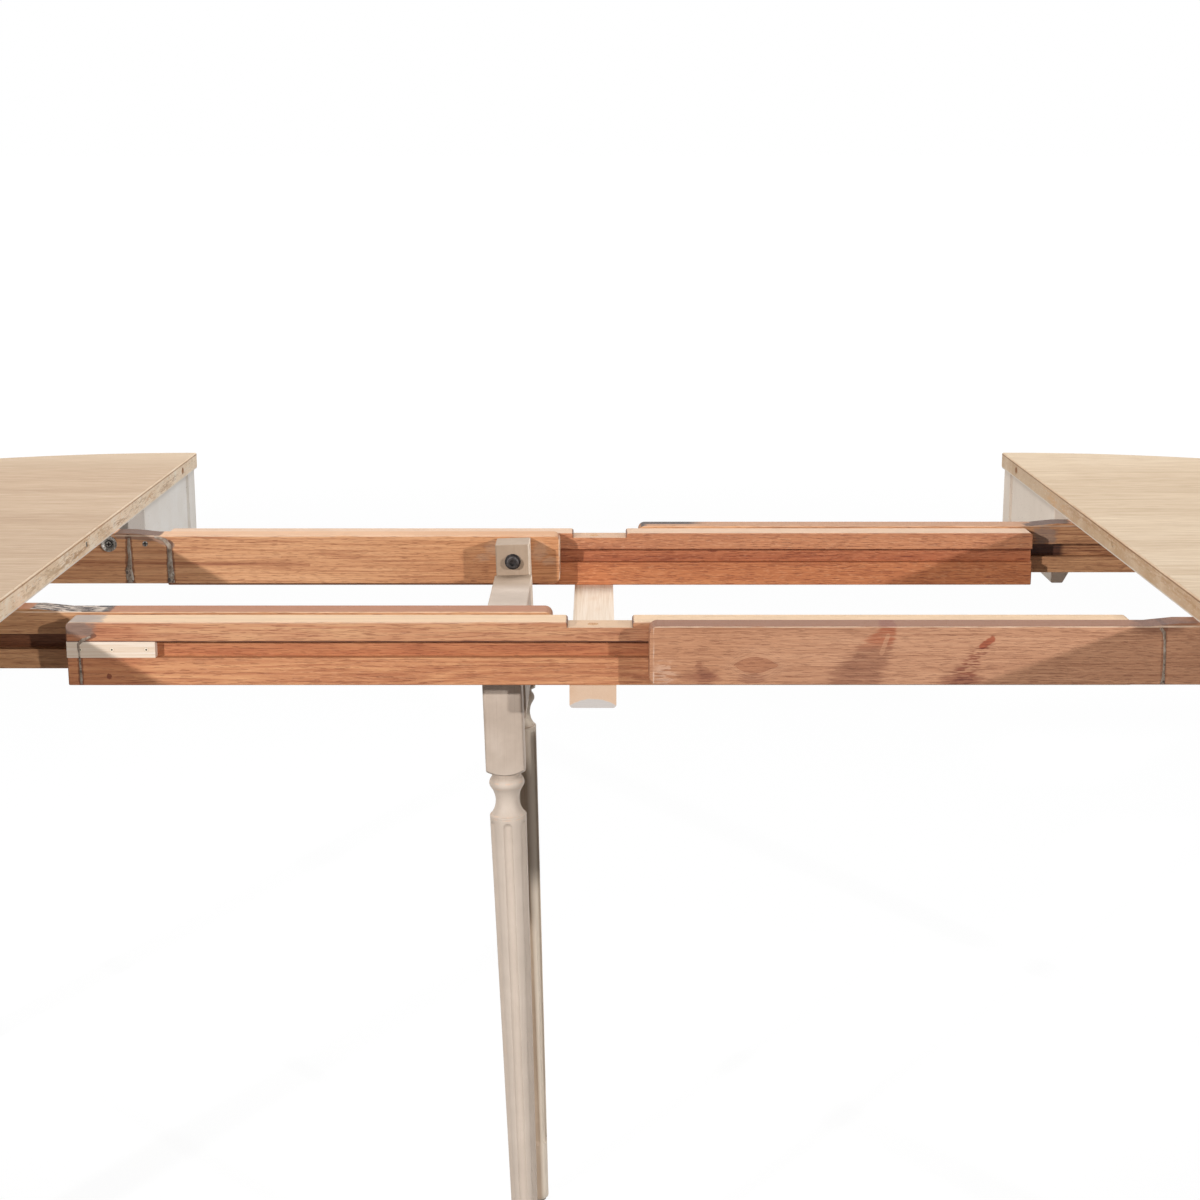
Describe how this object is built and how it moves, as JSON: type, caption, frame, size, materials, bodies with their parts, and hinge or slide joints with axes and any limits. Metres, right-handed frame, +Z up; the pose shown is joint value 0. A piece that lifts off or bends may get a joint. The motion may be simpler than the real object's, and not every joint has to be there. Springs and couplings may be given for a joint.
{
  "type": "extending dining table",
  "caption": "Round extending dining table pulled open on wooden slides, with half tops, curved aprons, turned legs and a folding centre leg frame.",
  "frame": {"origin": "on the floor, midway between the two seams of the open table", "axes": "+X along the extension towards the right half, -Y towards the viewer, +Z up"},
  "size_m": [2.2, 1.2, 0.76],
  "materials": {
    "limed_oak_top": "matt limed oak",
    "painted_wood": "rubbed matt paint",
    "slide_hardwood": "bare planed wood",
    "pine": "bare planed wood",
    "plated_steel": "zinc plate",
    "black_steel": "black oxide",
    "glide_plastic": "matt"
  },
  "bodies": {
    "left_half": {"left_top": "limed_oak_top", "left_near_apron": "painted_wood", "left_end_apron": "painted_wood", "left_far_apron": "painted_wood", "left_seam_boards": "painted_wood", "left_near_leg": "painted_wood", "left_far_leg": "painted_wood", "left_corner_blocks": "pine", "left_leg_bolts": "plated_steel", "left_leg_nuts": "plated_steel", "left_leg_glides": "glide_plastic", "left_glue_blocks": "pine", "left_far_rail": "slide_hardwood", "left_near_rail": "slide_hardwood", "left_rail_screws": "plated_steel", "left_splines": "slide_hardwood", "left_seam_tongue": "plated_steel", "left_cup_washers": "plated_steel", "left_side_screws": "plated_steel", "pivot_inserts": "plated_steel", "pivot_bolts": "black_steel", "pivot_washers": "black_steel"},
    "slide_carriage": {"middle_far_rail": "slide_hardwood", "middle_near_rail": "slide_hardwood", "stop_blocks": "pine", "stop_nails": "plated_steel", "crosspiece": "pine", "crosspiece_screws": "plated_steel"},
    "right_half": {"right_top": "limed_oak_top", "right_near_apron": "painted_wood", "right_end_apron": "painted_wood", "right_far_apron": "painted_wood", "right_seam_boards": "painted_wood", "right_near_leg": "painted_wood", "right_far_leg": "painted_wood", "right_corner_blocks": "pine", "right_leg_bolts": "plated_steel", "right_leg_nuts": "plated_steel", "right_leg_glides": "glide_plastic", "right_glue_blocks": "pine", "right_far_rail": "slide_hardwood", "right_near_rail": "slide_hardwood", "right_rail_screws": "plated_steel", "right_splines": "slide_hardwood"},
    "centre_leg_frame": {"centre_far_leg": "painted_wood", "centre_near_leg": "painted_wood", "centre_leg_rail": "painted_wood", "centre_leg_pegs": "pine", "centre_leg_glides": "plated_steel"}
  },
  "joints": [
    {"name": "left_slide", "type": "slide", "parent": "left_half", "child": "slide_carriage", "axis": [-1, 0, 0], "range_m": [0, 0.04]},
    {"name": "right_slide", "type": "slide", "parent": "slide_carriage", "child": "right_half", "axis": [-1, 0, 0], "range_m": [0, 0.5]},
    {"name": "centre_leg_fold", "type": "hinge", "parent": "left_half", "child": "centre_leg_frame", "pos_m": [-0.088, 0, 0.7194], "axis": [0, 1, 0], "range_deg": [0, 90]}
  ]
}
